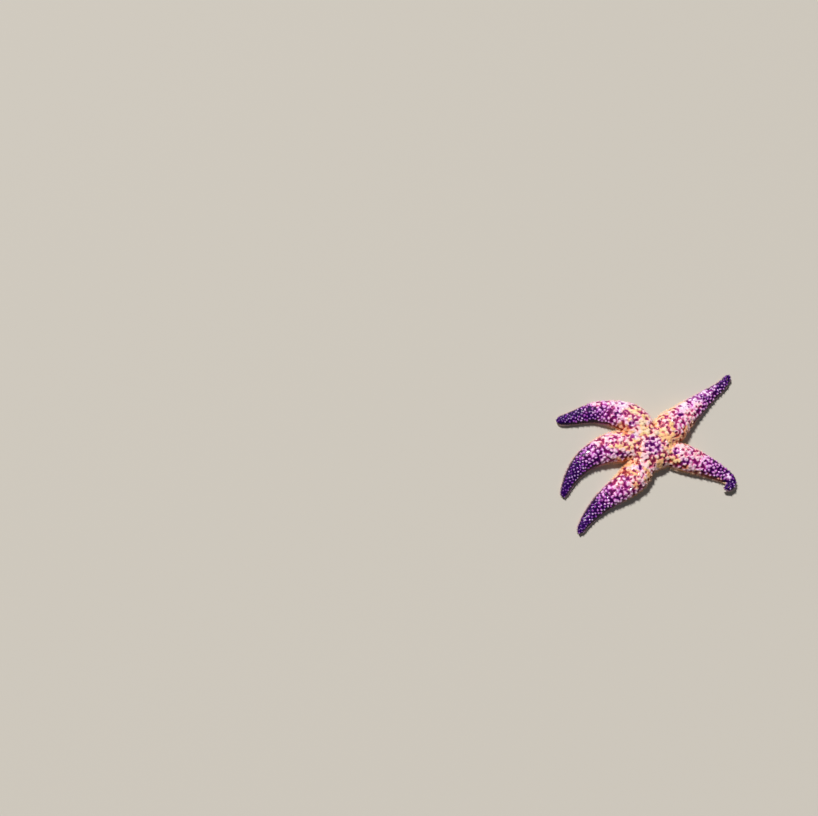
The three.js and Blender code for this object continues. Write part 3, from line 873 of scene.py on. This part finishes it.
# ------------------------------------------------------------------------------- tube feet
# Four rows of soft, clear feet hang from the roof of each groove, each ending in a sucker that
# holds the ground. Water pressure stretches them.
feet_stuff, shade, surface = material("tube_feet", Roughness=0.28, Coat_Weight=0.3, Coat_Roughness=0.15)
sucker = shade.read("rise").between(0.8, 0.95)
sucker.mixed(paint(238, 206, 150), paint(250, 236, 214)).feeds(surface, "Base Color")

FOOT_GAP, LONGEST_FOOT = 0.12, 5.5  # from a sucker to the ground, and what a foot stretches to
foot = stalk([(0.52, -0.06), (0.40, 0.25), (0.34, 0.72), (0.60, 0.92), (0.60, 0.98), (0.30, 1.0)], 6)
roots = []
for k, arm in enumerate(ARMS):
    for lane, share in enumerate((-0.62, -0.22, 0.22, 0.62)):
        u = np.arange(0.10 + lane % 2 * 0.012, 0.95, 2.5 / arm.length)
        width, deep = groove_size(u)
        flat = arm.place(u) + arm.right(u) * (width / 2 * share)[:, None]
        spots, _ = settle(np.column_stack([flat, arm.raised(u) + SOLE_UP + deep * (1 - share ** 2)]))
        roots.append(spots[locate(spots)[0] == k])
roots = np.concatenate(roots)
length = np.minimum(roots[:, 2] - FOOT_GAP, LONGEST_FOOT)
slack = 0.10 * chance.normal(size=(len(roots), 2))
ways = np.column_stack([slack, np.full(len(roots), -1.0)])
width = np.interp(markings(roots)["out"], (0.1, 0.95), (1.0, 0.45))
planted("tube_feet", foot, roots, ways, (width, length), feet_stuff)

# ------------------------------------------------------------------------------- mouth
# The mouth lies in the middle of the sole, where the five grooves meet: a round, puckered lip
# with a small opening, painted dark as shade, guarded by a pair of longer spines at each corner
# of the jaws.
lip_stuff, shade, surface = material("lip", Roughness=0.35, Coat_Weight=0.3, Coat_Roughness=0.15)
# The lip's middle is painted dark: painted shade for the opening.
inner = (shade.read("rise") + (shade.grain(1500) - 0.5) * 0.2).between(0.35, 0.75)
inner.mixed(paint(120, 52, 50), paint(236, 186, 150)).feeds(surface, "Base Color")

LIP_RADIUS, LIP_RISE, PUCKERS = 3.4, 0.9, 20
lip = bmesh.new()
bmesh.ops.create_uvsphere(lip, u_segments=2 * PUCKERS, v_segments=24, radius=1)
rise = []
roof = SOLE_UP + MOUTH["depth"] + 1.2
for vert in lip.verts:
    x, y, z = vert.co
    reach = min(1.0, (x * x + y * y) ** 0.5)
    pucker = 1 + 0.12 * np.cos(PUCKERS * np.arctan2(y, x)) * np.sin(np.pi * reach)
    swell = np.sin(np.pi * min(1.0, reach * 1.05)) ** 0.7 * pucker if reach < 0.95 else 0.0
    rise.append(reach)
    down = LIP_RISE * swell if z < 0 else -0.2 * LIP_RISE
    vert.co = Vector((DISC[0] + x * LIP_RADIUS, DISC[1] + y * LIP_RADIUS, roof - down)) * MM
bmesh.ops.recalc_face_normals(lip, faces=lip.faces)
lip_mesh = bpy.data.meshes.new("mouth")
lip.to_mesh(lip_mesh)
lip.free()
keep(lip_mesh, "rise", rise)
mouth = piece_of("mouth", lip_mesh, lip_stuff)
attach(mouth, "root")

JAW_SPINES_AT = 5.6, 7.2           # how far from the mouth's middle they stand
corners = []
for k, arm in enumerate(ARMS):
    between = arm.aim + ((ARMS[(k + 1) % 5].aim - arm.aim) % 360) / 2
    for swing in (-9, 9):
        for away in JAW_SPINES_AT:
            turned = np.radians(between + swing * JAW_SPINES_AT[0] / away)
            corners.append([DISC[0] + away * np.cos(turned), DISC[1] + away * np.sin(turned), SOLE_UP])
roots, _ = settle(np.array(corners))
ways = np.column_stack([DISC - roots[:, :2], np.zeros(len(roots))])
ways = pointed(roots, unit(ways), 0.5, 2.4, SOLE_GAP)
planted("mouth_spines", sole_spine, roots, ways, (1.15, 1.35), fringe_stuff)

# ------------------------------------------------------------------------------- sieve plate
# The sieve plate, a hard, chalky button beside the middle of the disc, lets water into the
# vessels that work the feet. Fine furrows run out over it from its middle.
plate_low, plate_high = (np.array(corner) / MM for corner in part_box("madreporite"))
PLATE_RADIUS, PLATE_RISE, FURROWS = (plate_high - plate_low)[0] / 2, 1.1, 22
seat, lean = settle(np.array([[*(plate_low + plate_high)[:2] / 2, plate_high[2]]]))
plate = bmesh.new()
bmesh.ops.create_uvsphere(plate, u_segments=6 * FURROWS, v_segments=20, radius=1)
depths = []
for vert in plate.verts:
    x, y, z = vert.co
    reach = min(1.0, (x * x + y * y) ** 0.5)
    turned = np.arctan2(y, x) + 0.25 * np.sin(7 * reach)
    furrow = (0.5 + 0.5 * np.cos(FURROWS * turned)) * float(smooth(reach, 0.15, 0.4))
    depths.append(furrow)
    up = z * PLATE_RISE - 0.16 * furrow if z > 0 else 0.6 * z
    vert.co = Vector((x * PLATE_RADIUS, y * PLATE_RADIUS, up))
turned = Vector(lean[0]).to_track_quat("Z", "Y").to_matrix().to_4x4()
plate.transform(Matrix.Scale(MM, 4) @ Matrix.Translation(Vector(seat[0])) @ turned)
plate_mesh = bpy.data.meshes.new("sieve_plate")
plate.to_mesh(plate_mesh)
plate.free()
keep(plate_mesh, "furrow", depths)
plate_stuff, shade, surface = material("chalky_plate", Roughness=0.6)
# The plate is darker in its furrows.
second_tint = (shade.read("furrow") + (shade.grain(2200) - 0.5) * 0.4).between(0.3, 0.9)
second_tint.mixed(paint(250, 226, 196), paint(176, 116, 118)).feeds(surface, "Base Color")
sieve = piece_of("sieve_plate", plate_mesh, plate_stuff)
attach(sieve, "root")
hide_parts("madreporite")

# ------------------------------------------------------------------------------- eyespots
# At the very end of each arm a red cushion of light-feeling cups looks out over the ground.
# It is soft, smooth and wet, and tells light from dark.
EYE_SET_BACK, EYE_SHARE = 0.9, 0.85
eye_stuff, shade, surface = material("eyespot_red", Roughness=0.22, Coat_Weight=0.5, Coat_Roughness=0.1)
cups = shade.node("TexVoronoi", {}, {"Vector": shade.node("TexCoord", {}, {}, "Object"), "Scale": 3200})
cups.between(0.1, 0.5).mixed(paint(70, 4, 20), paint(128, 14, 36)).feeds(surface, "Base Color")

for k in range(1, 6):
    low, high = (np.array(corner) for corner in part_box(f"eyespot_{k}"))
    middle = (low + high) / 2 - np.array([*ARMS[k - 1].along(1.0), 0.0]) * EYE_SET_BACK * MM
    eye = bmesh.new()
    ball = bmesh.ops.create_icosphere(eye, subdivisions=3, radius=1)
    for vert in ball["verts"]:
        dimple = 1 - 0.06 * abs(noise.noise(vert.co * 5))
        vert.co = Vector(middle + np.array(vert.co * dimple) * (high - low) / 2 * EYE_SHARE)
    eye_mesh = bpy.data.meshes.new(f"eye_{k}")
    eye.to_mesh(eye_mesh)
    eye.free()
    eyespot = piece_of(f"eye_{k}", eye_mesh, eye_stuff)
    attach(eyespot, "root")
    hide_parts(f"eyespot_{k}")

# ------------------------------------------------------------------------------- studio
# A plain pale floor with a large soft lamp from the far left, and a weaker one from the right.
bpy.ops.mesh.primitive_plane_add(size=6)
floor = bpy.context.object
floor.name = "floor"
floor_stuff, shade, surface = material("pale_floor", Roughness=0.8)
surface.inputs["Base Color"].default_value = (0.58, 0.55, 0.50, 1)
floor.data.materials.append(floor_stuff)


def lamp(name, toward, softness, strength, warmth):
    light = bpy.data.lights.new(name, "SUN")
    light.angle, light.energy, light.color = np.radians(softness), strength, warmth
    made = bpy.data.objects.new(name, light)
    made.rotation_euler = Vector(toward).to_track_quat("-Z", "Y").to_euler()
    bpy.context.collection.objects.link(made)


lamp("key", (0.53, -0.81, -1.21), 8, 3.85, (1.0, 0.975, 0.93))
lamp("fill", (-0.9, 0.7, -1.0), 60, 0.08, (0.9, 0.94, 1.0))
world = bpy.data.worlds.new("soft_room")
bpy.context.scene.world = world
world.use_nodes = True
room = Shade(world.node_tree)
seen = room.node("LightPath", {}, {}, "Is Camera Ray")
background = world.node_tree.nodes["Background"]
(seen * 0.72 + 0.08).feeds(background, "Strength")
background.inputs["Color"].default_value = (0.90, 0.94, 1.0, 1)
bpy.context.scene.view_settings.view_transform = "Standard"

view = bpy.data.cameras.new("camera")
view.lens, view.sensor_width = 39.5, 36
camera = bpy.data.objects.new("camera", view)
camera.location = (-0.2141, -0.1701, 0.7921)
camera.rotation_euler = (np.radians(90 - 75), 0, 0)
bpy.context.collection.objects.link(camera)
bpy.context.scene.camera = camera
